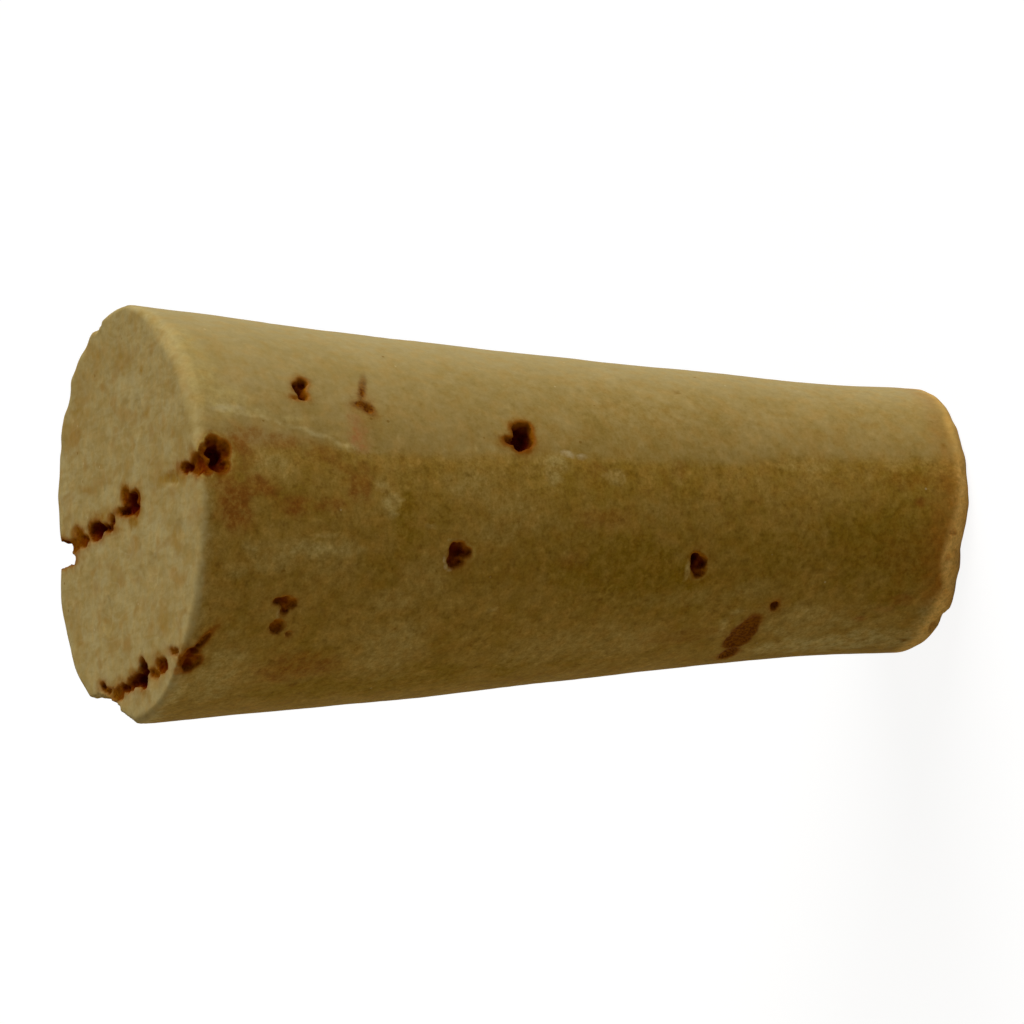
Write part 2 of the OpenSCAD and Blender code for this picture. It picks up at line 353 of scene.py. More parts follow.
def cork_field():
    """The whole stopper as a field on a grid, with the grid's lowest corner."""
    half_width = WIDEST_R + 4 * STEP
    corner = np.array([-half_width, -half_width, -4 * STEP])
    counts = np.ceil((-2 * corner + (0, 0, LENGTH)) / STEP).astype(int)
    grid = np.ogrid[tuple(slice(0, n) for n in counts)]
    field = body_field(*(np.float32(corner[c]) + np.float32(STEP) * g for c, g in enumerate(grid)))
    field = field.astype(np.float32)
    near = np.argwhere(np.abs(field) < BAND)
    points = (corner + near * STEP).astype(np.float32)
    x, y, z = points.T
    swell = sum(height * noise(points, size, seed) for height, size, seed in SKIN_NOISE)
    head_rim = np.exp(-((WIDEST_R - np.hypot(x, y)) ** 2 + (LENGTH - z) ** 2))
    foot_rim = np.exp(-(z / FOOT_RIM_REACH) ** 2)
    # the head's rim is most worn at the back, towards +X
    worn = smooth_step(2, 6, y) * smooth_step(-4, 2, x)
    swell += (HEAD_RIM_NOISE + WORN_NOISE * worn) * head_rim * noise(points, 0.9, 4)
    swell += FOOT_RIM_NOISE * foot_rim * noise(points, 0.7, 5)
    field[tuple(near.T)] += swell
    for lumps, _, _ in DEEP + SHALLOW + WORN:
        for lump in lumps:
            carve(field, lump, corner)
    return field, corner


def surface(field, corner):
    """Points and quads where the field is zero, with one point in each cell that the surface crosses."""
    inside = field < 0
    quads, crossings = [], []
    for axis in range(3):
        low = tuple(slice(0, -1) if c == axis else slice(None) for c in range(3))
        high = tuple(slice(1, None) if c == axis else slice(None) for c in range(3))
        start = np.argwhere(inside[low] != inside[high])
        end = start.copy()
        end[:, axis] += 1
        a, b = field[tuple(start.T)], field[tuple(end.T)]
        spot = start.astype(float)
        spot[:, axis] += a / (a - b)
        around = []
        for du, dv in ((-1, -1), (0, -1), (0, 0), (-1, 0)):
            cell = start.copy()
            cell[:, (axis + 1) % 3] += du
            cell[:, (axis + 2) % 3] += dv
            around.append(np.ravel_multi_index(cell.T, field.shape))
        ring = np.stack(around, axis=1)
        quads.append(np.where((a < 0)[:, None], ring, ring[:, ::-1]))
        crossings.append(spot)
    _, index = np.unique(np.concatenate(quads), return_inverse=True)
    index = index.reshape(-1, 4)
    spots = np.repeat(np.concatenate(crossings), 4, axis=0)
    count = np.bincount(index.ravel())
    points = np.stack([np.bincount(index.ravel(), spots[:, c]) / count for c in range(3)], axis=1)
    return corner + points * STEP, index


def cork_mesh():
    """The stopper as one piece, with most of its triangles in and round the pits."""
    points, quads = surface(*cork_field())
    mesh = bpy.data.meshes.new("stopper_cork")
    mesh.from_pydata(points * MM, [], quads)
    piece = bpy.data.objects.new("stopper_cork", mesh)
    bpy.context.scene.collection.objects.link(piece)
    near_pit = gap(points, DEEP + SHALLOW) < NEAR_PIT
    piece.vertex_groups.new(name="pits").add(np.flatnonzero(near_pit).tolist(), 1, "REPLACE")
    fewer = piece.modifiers.new("fewer", "DECIMATE")
    fewer.vertex_group = "pits"
    fewer.invert_vertex_group = True
    fewer.ratio = TRIANGLES / (2 * len(quads))
    fewer.use_collapse_triangulate = True
    bpy.context.view_layer.update()
    final = bpy.data.meshes.new_from_object(piece.evaluated_get(bpy.context.evaluated_depsgraph_get()))
    piece.modifiers.clear()
    piece.data = final
    final.name = "stopper_cork"
    final.shade_smooth()
    bpy.data.meshes.remove(mesh)
    return piece


# ---- Masks


def spread(across, up, strength, blur):
    """Strength of one mark, from its middle to its ragged edge."""
    return strength * smooth_step(1.3, 0.5, np.hypot(across, up) + blur)


def patches(points, table, edge, seed):
    """Strength of a set of marks on the side."""
    angle = np.degrees(np.arctan2(points[:, 0], -points[:, 1]))
    arc = np.radians(angle) * np.hypot(points[:, 0], points[:, 1])
    radius = side_radius(points[:, 2])
    blur = edge * (noise(points, 0.9, seed) + 0.8 * noise(points, 0.35, seed + 1))
    total = np.zeros(len(points))
    for mark_angle, height, half_arc, half_height, strength in table:
        across = (arc - np.radians(mark_angle) * radius) / half_arc
        up = (points[:, 2] - height) / half_height
        total = np.maximum(total, spread(across, up, strength, blur))
    return total


def head_patches(points, table, edge, seed):
    """Strength of a set of marks on the head face."""
    blur = edge * (noise(points, 0.9, seed) + 0.6 * noise(points, 0.35, seed + 1))
    return np.max([spread((points[:, 0] - x) / half_x, (points[:, 1] - y) / half_y, strength, blur)
                   for x, y, half_x, half_y, strength in table], axis=0)


# ---- Marks on the side: angle, height, half size round the side, half height, strength

# Red-brown stains on the side
RUST = [
    (17.5, 3.0, 0.5, 1.8, 0.4), (-14, 3.2, 1.3, 1.2, 0.35), (7, 38.3, 0.6, 0.5, 0.9),
    (20.5, 37.5, 0.7, 0.6, 1.0), (3, 37.9, 0.9, 0.9, 1.2), (-1, 37.6, 0.5, 0.8, 0.7),
    (9, 36.6, 0.4, 0.6, 1.0), (7.5, 36.0, 0.35, 0.4, 1.0), (3, 34.9, 0.55, 0.6, 1.2),
    (3, 33.0, 0.3, 0.8, 0.8), (9, 31.5, 0.7, 0.6, 1.1), (15, 31.2, 0.4, 0.5, 0.5),
    (24, 36.9, 0.5, 1.0, 0.7), (22, 35.0, 0.45, 1.2, 0.7), (18.5, 33.1, 0.4, 0.9, 0.6),
    (15, 32.3, 0.3, 0.6, 0.5), (17, 37.2, 0.7, 0.6, 0.4), (33, 30.9, 1.3, 0.8, 0.2),
    (-50, 33.5, 0.9, 2.0, 0.7), (-50, 14, 0.5, 2.4, 0.35), (0, 19.2, 0.4, 1.4, 0.4),
    (19, 15, 0.4, 0.6, 0.3), (17, 19.4, 0.6, 0.7, 0.35), (-36, 3.1, 0.35, 0.6, 0.8),
    (-41, 4.0, 0.15, 0.6, 0.7), (-46, 4.95, 0.22, 0.35, 0.9), (36.4, 34.3, 0.08, 0.25, 0.9),
    (37, 30.6, 0.7, 0.5, 0.4), (42.4, 30.55, 0.45, 0.14, 0.5), (-36, 1.5, 0.2, 0.3, 1.0),
    (8, 2.7, 0.3, 0.35, 1.0), (-15, 20.8, 0.3, 0.9, 0.3),
]

# Pale worn patches on the side, and three of painted light: at (-44, 1.5) as rim light on the foot's lower
# corner, and at (-58, 38.9) and (-75, 39.0) on the head rim's rounding where it turns from the key light
PALE = [
    (-9, 33.9, 0.55, 2.0, 0.9), (-12, 35.6, 0.6, 1.4, 0.5), (-8, 36.7, 0.3, 0.7, 0.7),
    (-5.5, 33.4, 0.2, 0.8, 0.8), (-8, 34.6, 0.15, 0.6, 0.6), (-15, 33, 0.6, 1.6, 0.3),
    (31.5, 37.8, 0.3, 0.7, 1.2), (34, 37.4, 0.8, 1.0, 0.8), (-45, 29, 2.0, 1.8, 0.5),
    (-50, 37.3, 2.5, 1.3, 0.6), (-50, 19, 1.2, 5, 0.3), (-47, 8, 1.2, 4, 0.5),
    (10, 26, 0.8, 1.4, 0.35), (-39, 11.5, 0.2, 0.4, 1.0), (-46, 12.0, 0.5, 0.15, 1.0),
    (31, 36.4, 0.25, 1.0, 0.7), (29, 34.6, 0.2, 1.0, 0.6), (24.5, 32.6, 0.2, 0.5, 0.7),
    (21.3, 31.9, 0.16, 0.4, 1.2), (20, 30.7, 0.1, 0.6, 0.6), (13, 35.8, 0.8, 1.2, 0.5),
    (9, 30.4, 0.3, 0.4, 0.7), (4, 30.0, 0.5, 0.4, 1.0), (1, 29.9, 0.15, 0.2, 1.0),
    (18.5, 21.4, 0.5, 0.6, 0.8), (14, 21.7, 0.4, 0.4, 0.9), (15, 18.4, 0.35, 0.5, 0.9),
    (-20, 28, 1.0, 1.6, 0.25), (22, 25.5, 0.2, 2.4, 0.3), (22, 8.6, 0.3, 1.6, 0.3),
    (3, 16, 0.4, 1.4, 0.2), (0, 24, 1.2, 2.0, 0.3), (-64, 5.5, 1.0, 4.5, 1.2),
    (-61, 3.5, 1.0, 3.2, 1.0), (-53, 1.1, 1.5, 1.0, 1.2), (-27, 29.3, 0.7, 1.5, 0.35),
    (-31, 14.5, 0.5, 2.5, 0.25), (-29, 11, 0.5, 1.2, 0.35), (-14.5, 37.6, 0.4, 0.6, 0.5),
    (46, 38.5, 3.0, 0.8, 0.6), (38, 38.6, 1.4, 0.7, 0.8), (-44, 1.5, 1.4, 0.6, 1.2),
    (-58, 38.9, 1.2, 0.5, 1.2), (-75, 39.0, 1.2, 0.35, 1.0), (-31, 24.4, 0.08, 0.2, 0.9),
    (-19, 14.62, 0.45, 0.11, 1.3), (-7, 26.9, 0.08, 0.4, 1.0), (-29, 35.2, 0.3, 0.1, 1.2),
    (28, 29.9, 0.06, 0.1, 1.0), (40.2, 28.25, 0.07, 0.09, 1.0), (-2.8, 28.0, 0.07, 0.25, 1.1),
    (-7.8, 30.1, 0.07, 0.08, 1.2),
]

# Small chalky patches
CHALK = [
    (22.5, 20.9, 0.14, 0.35, 0.8), (22, 20.1, 0.1, 0.35, 0.6), (31, 38.0, 0.16, 0.4, 0.5),
    (31.5, 37.2, 0.14, 0.5, 0.35), (15, 18.2, 0.14, 0.16, 0.5), (-13.2, 27.22, 0.16, 0.07, 0.8),
    (-15.3, 27.12, 0.18, 0.09, 1.0), (-16.4, 26.9, 0.08, 0.16, 0.8),
]

# Olive stains on the side
OLIVE = [
    (-18, 14.4, 1.2, 1.0, 1.5), (-17, 17.5, 1.7, 4.5, 1.0), (-15, 9.5, 1.4, 3.5, 0.8),
    (-2, 29.2, 1.4, 0.7, 0.9), (-46, 33, 0.8, 1.5, 0.7), (4, 3.5, 1.6, 2.0, 0.7),
    (30, 17, 3.0, 4.0, 0.35), (-18, 11, 2.2, 5, 0.5), (-12, 4.5, 2.6, 3, 0.9),
    (-14, 19.3, 1.6, 1.2, 0.6), (-25, 16, 2.2, 7, 0.5), (5.5, 29.3, 0.45, 0.3, 1.0),
    (-4, 29.5, 0.6, 0.5, 0.9), (-13.5, 30.8, 0.5, 0.8, 0.6), (-18, 30, 0.6, 0.6, 0.5),
    (-17, 37.3, 0.7, 0.8, 0.2), (3, 27.6, 1.2, 0.9, 0.5), (8, 21, 1.5, 0.8, 0.5),
    (14, 17.6, 0.8, 0.5, 0.6), (2, 18.6, 0.7, 0.8, 0.6), (-62, 28, 1.2, 7.0, 0.9),
    (16, 14.6, 0.8, 0.8, 0.6), (15, 3.2, 0.8, 1.2, 0.5), (-8, 22, 1.4, 1.0, 0.4),
    (8, 19.2, 0.7, 0.9, 0.8), (-24, 13.2, 1.2, 1.8, 0.5), (-8, 15.2, 0.8, 0.8, 0.6),
    (18, 3.2, 0.5, 1.6, 0.8), (16, 2.0, 0.4, 0.8, 0.7), (-18, 3.2, 1.2, 1.8, 1.0),
    (11.3, 22.4, 0.5, 0.5, 0.5), (11, 29.4, 0.5, 0.5, 0.5), (-37.7, 33.3, 0.6, 0.6, 0.6),
]

# Pinkish scars on the side
SCARS = [
    (30, 31.3, 0.3, 0.4, 0.9), (27, 31.3, 0.4, 0.5, 1.4), (23.5, 31.4, 0.45, 0.5, 1.6),
    (21, 31.2, 0.3, 0.35, 1.4),
]

# Small dark dots on the side
DOTS = [
    (-15.5, 35.2, 0.06, 0.06, 1.0), (-46, 34.9, 0.14, 0.14, 1.0), (-64, 32.6, 0.2, 0.12, 1.2),
    (-58, 33.2, 0.2, 0.1, 1.0), (-49, 28.7, 0.08, 0.08, 0.8), (-15.5, 5.6, 0.12, 0.12, 0.9),
    (-16, 3.3, 0.2, 0.16, 0.7), (-5.5, 1.5, 0.14, 0.12, 1.0), (-64, 2.0, 0.2, 0.13, 1.2),
    (-62, 4.2, 0.16, 0.13, 1.0), (13, 4.8, 0.1, 0.08, 0.8), (47, 1.4, 0.14, 0.08, 0.8),
    (34, 1.1, 0.14, 0.1, 0.7), (-8, 7.5, 0.1, 0.1, 0.7), (-30, 19, 0.08, 0.08, 0.7),
    (-24, 32.6, 0.1, 0.08, 0.6), (12, 27.3, 0.1, 0.08, 0.6), (8, 13.1, 0.09, 0.08, 0.7),
    (50, 24.5, 0.1, 0.07, 0.6), (55, 14, 0.1, 0.07, 0.6),
]

# Brown stains round the channels in the head face: place in X and in Y, half sizes in X and in Y,
# strength
HEAD_RUST = [
    (1.15, 0.1, 0.3, 0.6, 0.9), (-0.3, -1.0, 0.2, 0.5, 0.8), (-0.1, 3.7, 0.22, 0.8, 0.8),
    (-0.5, 1.6, 0.25, 0.7, 0.7), (-0.9, 6.0, 0.2, 0.8, 0.6), (1.9, -6.0, 0.16, 1.2, 0.7),
    (2.9, -8.2, 0.3, 0.7, 0.7), (-6.3, -4.3, 0.25, 0.7, 0.8), (-6.0, -6.1, 0.18, 0.7, 0.9),
    (-7.4, 0.4, 0.25, 0.9, 0.6), (-7.6, 2.9, 0.2, 0.6, 0.8), (-7.1, -1.5, 0.2, 0.8, 0.6),
    (-7.0, -7.1, 0.25, 0.4, 0.8), (-8.0, -2.6, 0.15, 0.8, 0.5), (-5.9, -7.6, 0.2, 0.8, 0.7),
    (6.5, -2.25, 0.12, 0.3, 0.8),
]

# Olive-brown stains on the head face, listed in the same way
HEAD_STAINS = [
    (1.65, -5.7, 0.3, 1.5, 1.3), (1.35, -4.2, 0.25, 0.9, 0.8), (2.9, -6.9, 0.7, 0.7, 0.7),
    (-0.8, -6.6, 0.7, 0.6, 0.8), (1.0, 0.3, 0.5, 0.5, 1.2), (-0.3, -0.9, 0.25, 0.6, 1.3),
    (-4.5, -4.8, 0.7, 0.8, 0.6), (4.7, 6.1, 0.16, 0.7, 1.3), (7.2, 0.5, 0.6, 0.6, 0.6),
    (6.5, -2.1, 0.12, 0.5, 1.2), (4.8, -2.5, 0.3, 0.4, 0.8), (3.9, -5.1, 0.3, 0.7, 0.8),
    (3.0, -4.3, 0.15, 0.6, 0.6), (2.1, -0.3, 0.5, 0.6, 0.7), (-5.2, 6.1, 0.9, 0.7, 0.6),
    (5.8, 5.5, 1.8, 1.8, 0.5), (3.4, 7.3, 0.9, 0.7, 0.7), (7.3, 3.8, 0.4, 0.5, 0.8),
    (6.4, 5.1, 0.3, 0.5, 0.9), (-0.9, 6.2, 0.4, 0.9, 1.2), (1.3, 4.1, 0.1, 0.25, 1.2),
    (-8.2, 1.0, 0.35, 1.0, 1.2), (-7.0, -4.2, 0.7, 1.4, 0.7), (0, 2.4, 0.4, 0.7, 0.8),
    (7.2, 0.6, 0.3, 0.5, 1.0), (5.0, -2.65, 0.2, 0.35, 1.0), (8.9, -0.9, 0.3, 0.7, 0.9),
    (7.6, 4.3, 0.4, 0.5, 0.8), (1.4, -3.4, 0.25, 0.35, 0.9), (6.5, 0.5, 0.25, 0.4, 0.8),
]

# Each set of marks with the name of its mask, how ragged its edges are and its seed
SIDE_MARKS = [
    ("rust", RUST, 0.45, 31), ("pale", PALE, 0.35, 41), ("chalk", CHALK, 0.3, 45),
    ("olive", OLIVE, 0.5, 51), ("scar", SCARS, 0.4, 55), ("dots", DOTS, 0.1, 57),
]
HEAD_MARKS = [("head_stain", HEAD_STAINS, 0.4, 61), ("head_rust", HEAD_RUST, 0.4, 65)]


def pit_edges(points):
    """Strengths of the stain round the pits, of its dark fringe and of their pale lips."""
    glow, fringe, lip = (np.zeros(len(points)) for _ in range(3))
    uneven = 0.06 * noise(points, 0.4, 23)
    for lumps, glow_strength, lip_strength in DEEP + SHALLOW:
        around = gap(points, [(lumps, 0, 0)]) + uneven
        glow = np.maximum(glow, glow_strength * smooth_step(0.45, 0.03, around) ** 1.2)
        fringe = np.maximum(fringe, glow_strength * smooth_step(0.2, 0.02, around))
        lip = np.maximum(lip, lip_strength * np.exp(-((around - 0.12) / 0.06) ** 2))
    return glow, fringe, lip * smooth_step(-0.6, 0.2, noise(points, 0.7, 24))


def read_vectors(items, name):
    """One vector for each of a mesh's items."""
    values = np.zeros(len(items) * 3)
    items.foreach_get(name, values)
    return values.reshape(-1, 3)


def paint(piece):
    """Writes the masks that the cork's material reads, one value at each vertex."""
    mesh = piece.data
    points = read_vectors(mesh.vertices, "co") / MM
    x, y, z = points.T
    radius = np.hypot(x, y)
    normal_x = read_vectors(mesh.vertex_normals, "vector")[:, 0]
    # how deep a point is sunk in a hollow, which counts for more in the head's pockets
    sunk = np.minimum(-body_field(x, y, z), gap(points, WORN) - 0.05)
    sunk = np.where(gap(points, CARVED) < 0.4, 1.6, 1) * sunk
    deep_gap = gap(points, DEEP)
    in_pit = deep_gap < 0.5
    powder = sum(smooth_step(0.25, 0.05, gap(points, [patch])) for patch in SHALLOW)
    glow, fringe, lip = pit_edges(points)
    warp = 0.25 * noise(points, (1.5, 1.5, 3), 21) + 0.1 * noise(points, 0.5, 22)
    on_head = smooth_step(LENGTH - 0.4, LENGTH - 0.12, z + 0.3 * warp)
    both_ends = np.maximum(on_head, smooth_step(0.35, 0.1, z + 0.3 * warp))
    # how far the wall of a pit leans to +X, where the key light is, from the skin round it
    lean = (normal_x - (1 - both_ends) * x / np.maximum(radius, 1)) * smooth_step(0.15, 0.03, deep_gap)
    # the paler band of the bark, towards the key light, its edge along the grain softer at the back
    across = x * math.cos(GRAIN) + y * math.sin(GRAIN)
    softer = 2 * smooth_step(0, 4, y)
    sun_side = smooth_step(0.8 - softer, 1.6 + softer, across + warp - 0.3 * smooth_step(14, 4, z))
    # height above the rounding of the foot, and the side away from the key light, where the foot's brown band
    # is painted stronger as shade and its edge brighter as rim light
    above_foot = z - (0.5 + 0.7 * by_angle(FOOT_ROUND, x, y))
    shade = smooth_step(3.5, 0.5, x)
    masks = {
        # walls of pits, their deeper and deepest parts, and the powder in shallow ones
        "wall": smooth_step(0.01, 0.14, sunk) * in_pit,
        "depth": smooth_step(0.06, 0.4, sunk + 0.1 * noise(points, 0.3, 25)) * in_pit,
        "bottom": smooth_step(0.35, 0.75, sunk) * in_pit,
        "powder": smooth_step(0.01, 0.08, sunk) * powder,
        # painted shade on walls that face the key light, and painted red-brown light on walls near a mouth
        # that face away from it
        "lit_wall_painted_shade": smooth_step(0.05, 0.55, lean),
        "shaded_wall_painted_light": smooth_step(0, -0.4, lean) * smooth_step(0.4, 0.1, sunk),
        "glow": glow,
        "fringe": fringe,
        "lip": lip,
        # broad tones of the side with painted light and shade, painted sheen along its top, strength of the
        # finest grain, and where the growth ring shows
        # half a real paler band along the grain, half painted light that grows towards the key light at +X
        "pale_band_and_lit_side": 0.5 * sun_side + 0.5 * smooth_step(2.5, 9, x),
        # painted sheen: a paler strip along the side's edge that faces the key light
        "painted_sheen": smooth_step(0.78, 0.99, x / side_radius(z)),
        "fine": 0.42 * both_ends + (1 - both_ends) * (1 - 0.6 * sun_side) * (1 - 0.5 * smooth_step(4, 8, x)),
        "ring": smooth_step(31, 31.6, z) * smooth_step(0, 1, x) * smooth_step(LENGTH - 0.5, 37.5, z) * (y < 0),
        **{name: patches(points, *marks) * (1 - on_head) for name, *marks in SIDE_MARKS},
        **{name: head_patches(points, *marks) * on_head for name, *marks in HEAD_MARKS},
        # the two ends, the pale rim of the head, the brown band of the foot, and the foot's golden edge
        # painted bright as rim light
        "head": both_ends,
        "head_rim": smooth_step(1.3, 0.2, WIDEST_R - radius) * smooth_step(LENGTH - 0.8, LENGTH - 0.3, z),
        "foot_rim": (smooth_step(1.2, 0, above_foot + 1.2 * warp) * (0.4 + 0.6 * shade)
                     * (1 - 0.8 * smooth_step(-3.6, -4.4, x))),
        # painted rim light, brighter away from the key light and reaching higher at the lower corner
        "golden_edge_and_rim_light": (smooth_step(0, -0.5, above_foot + 0.5 * warp - 0.4 * smooth_step(-3, -4.2, x))
                      * smooth_step(3.5, 4.5, radius) * (0.5 + 0.5 * shade)),
    }
    for name, values in masks.items():
        attribute = mesh.attributes.new(name, "FLOAT", "POINT")
        attribute.data.foreach_set("value", values.astype(np.float32))


# ---- Colours of the cork. Where there are two, the skin is mottled between them
# the side's skin away from and towards the key light: over a real paler band, painted darker and more
# saturated as shade on the one, paler and greyer as light on the other
DARK_TONE_AND_SHADED_SKIN = (0.29, 0.168, 0.019), (0.385, 0.238, 0.048)
PALE_BAND_AND_LIT_SKIN = (0.355, 0.26, 0.086), (0.405, 0.307, 0.124)
HEAD_SKIN = (0.367, 0.257, 0.08), (0.45, 0.348, 0.143)
# painted sheen for the side's edge that faces the key light
PAINTED_SHEEN_PALE = (0.43, 0.35, 0.17)
HEAD_FIBRE = (0.335, 0.22, 0.065)
HEAD_BLOTCH = (0.345, 0.205, 0.05)
HEAD_VEIN = (0.50, 0.40, 0.19)
HEAD_STAIN = (0.33, 0.19, 0.03)
HEAD_RED = (0.25, 0.115, 0.008)
OLIVE_BROWN = (0.25, 0.145, 0.006)
RED_BROWN = (0.28, 0.105, 0.012)
# pale wear, and painted light on three of the pale patches
WORN_PALE_AND_PAINTED_LIGHT = (0.50, 0.38, 0.13)
SCAR_PINK = (0.42, 0.20, 0.065)
DOT_BROWN = (0.2, 0.1, 0.008)
CHALK_WHITE = (0.60, 0.50, 0.28)
RING_PALE = (0.52, 0.41, 0.17)
FOOT_BROWN = (0.34, 0.145, 0.014)
# golden cork at the foot's edge, painted bright as rim light
FOOT_GOLD_AND_RIM_LIGHT = (0.82, 0.51, 0.14)
HEAD_RIM_PALE = (0.46, 0.365, 0.15)
PALE_SPECK = (0.58, 0.47, 0.25)
DARK_SPECK = (0.20, 0.09, 0.006)
GLOW = (0.25, 0.095, 0.003), (0.33, 0.15, 0.01)
FRINGE = (0.22, 0.058, 0.001)
LIP = (0.50, 0.36, 0.09)
POWDER_RED = (0.11, 0.028, 0.001), (0.22, 0.075, 0.002)
PIT_WALL = (0.15, 0.045, 0.001), (0.27, 0.105, 0.004)
PIT_DEPTH = (0.14, 0.02, 0.001), (0.23, 0.055, 0.001)
PIT_BOTTOM = (0.12, 0.008, 0.002)
# painted red-brown light for pit walls that face away from the key light
PAINTED_LIGHT_ON_SHADED_WALLS = (0.42, 0.14, 0.004)

# What a colour is multiplied by
WARMER = (1.04, 0.92, 0.74)
COOLER = (0.97, 1.01, 1.14)
PALER = (1.3, 1.35, 1.55)
DARKER = (0.66, 0.61, 0.5)
# painted shade for pit walls that face the key light
PAINTED_SHADE_ON_LIT_WALLS = (0.65, 0.5, 0.3)


class Nodes:
    """The nodes of a material or of the world, and short ways to add to them."""

    def __init__(self, owner):
        owner.use_nodes = True
        self.tree = owner.node_tree
        self.tree.nodes.clear()

    def node(self, kind, sockets=None, **settings):
        """A new node with its settings, and with a link or a constant for each of the given sockets."""
        made = self.tree.nodes.new(kind)
        for name, value in settings.items():
            setattr(made, name, value)
        for name, value in (sockets or {}).items():
            if isinstance(value, bpy.types.NodeSocket):
                self.tree.links.new(value, made.inputs[name])
            else:
                made.inputs[name].default_value = value
        return made

    def math(self, operation, *values):
        return self.node("ShaderNodeMath", dict(enumerate(values)), operation=operation).outputs[0]

    def times(self, a, b):
        return self.math("MULTIPLY", a, b)

    def plus(self, a, b):
        return self.math("ADD", a, b)

    def mix(self, share, a, b, blend="MIX"):
        """Colour a with the given share of colour b."""
        a, b = (c if isinstance(c, bpy.types.NodeSocket) else (*c, 1) for c in (a, b))
        sockets = {0: share, 6: a, 7: b}
        return self.node("ShaderNodeMix", sockets, data_type="RGBA", blend_type=blend).outputs[2]

    def seen(self):
        """1 for what the camera sees directly, in a reflection or through glass."""
        path = self.node("ShaderNodeLightPath")
        share = path.outputs["Is Camera Ray"]
        for name in ("Is Glossy Ray", "Is Transmission Ray"):
            share = self.math("MAXIMUM", share, path.outputs[name])
        return share


class SkinNodes(Nodes):
    """Nodes with textures, whose sizes are in millimetres, and with the masks of the mesh."""

    def __init__(self, owner):
        super().__init__(owner)
        place = self.node("ShaderNodeTexCoord").outputs["Object"]
        self.place = self.node("ShaderNodeMapping", {"Vector": place, "Scale": (1 / MM,) * 3}).outputs[0]

    def mask(self, name):
        return self.node("ShaderNodeAttribute", attribute_name=name).outputs["Fac"]

    def noise(self, size, detail=2.0, roughness=0.5, stretch=(1, 1, 1), turn=0.0, distortion=0.0):
        place = self.place
        if stretch != (1, 1, 1):
            sockets = {"Vector": place, "Rotation": (0, 0, turn), "Scale": stretch}
            place = self.node("ShaderNodeMapping", sockets, vector_type="TEXTURE").outputs[0]
        sockets = {"Vector": place, "Scale": 1 / size, "Detail": detail, "Roughness": roughness,
                   "Distortion": distortion}
        return self.node("ShaderNodeTexNoise", sockets).outputs["Fac"]

    def specks(self, spacing, size, share, shift):
        """Scattered round specks of up to the given radius, strongest in the middle."""
        place = self.node("ShaderNodeMapping", {"Vector": self.place, "Location": (shift,) * 3}).outputs[0]
        cell = self.node("ShaderNodeTexVoronoi", {"Vector": place, "Scale": 1 / spacing})
        return self.between(cell.outputs["Distance"], size / spacing, 0.6 * size / spacing, 0, share)

    def between(self, value, low, high, to_low=0.0, to_high=1.0):
        """Value spread from low..high to to_low..to_high, held at the ends."""
        sockets = {"Value": value, "From Min": low, "From Max": high, "To Min": to_low, "To Max": to_high}
        return self.node("ShaderNodeMapRange", sockets).outputs["Result"]

    def stain(self, colour, tint, mask, texture, low, high, share_low, share_high):
        """The colour with a mark on it, whose share goes with its mask and with a texture."""
        share = self.times(self.mask(mask), self.between(texture, low, high, share_low, share_high))
        return self.mix(share, colour, tint)


def ring_line(s):
    """A thin bowed line, where a growth ring of the bark comes to the surface below the head."""
    lowest = (RING_X, 0, RING_Z)
    shifted = s.node("ShaderNodeVectorMath", {0: s.place, 1: lowest}, operation="SUBTRACT").outputs[0]
    parts = s.node("ShaderNodeSeparateXYZ", {0: shifted})
    bend = s.times(s.times(parts.outputs[0], parts.outputs[0]), 1 / RING_SPREAD ** 2)
    off = s.plus(parts.outputs[2], s.times(bend, -1))
    steep = s.plus(s.times(bend, 4 / RING_SPREAD ** 2), 1)
    wander = s.plus(s.noise(0.8, detail=3), -0.5)
    off = s.plus(s.math("DIVIDE", off, s.math("POWER", steep, 0.5)), s.times(wander, 0.5))
    return s.between(s.math("ABSOLUTE", off), 0.03, 0.15, 1, 0)


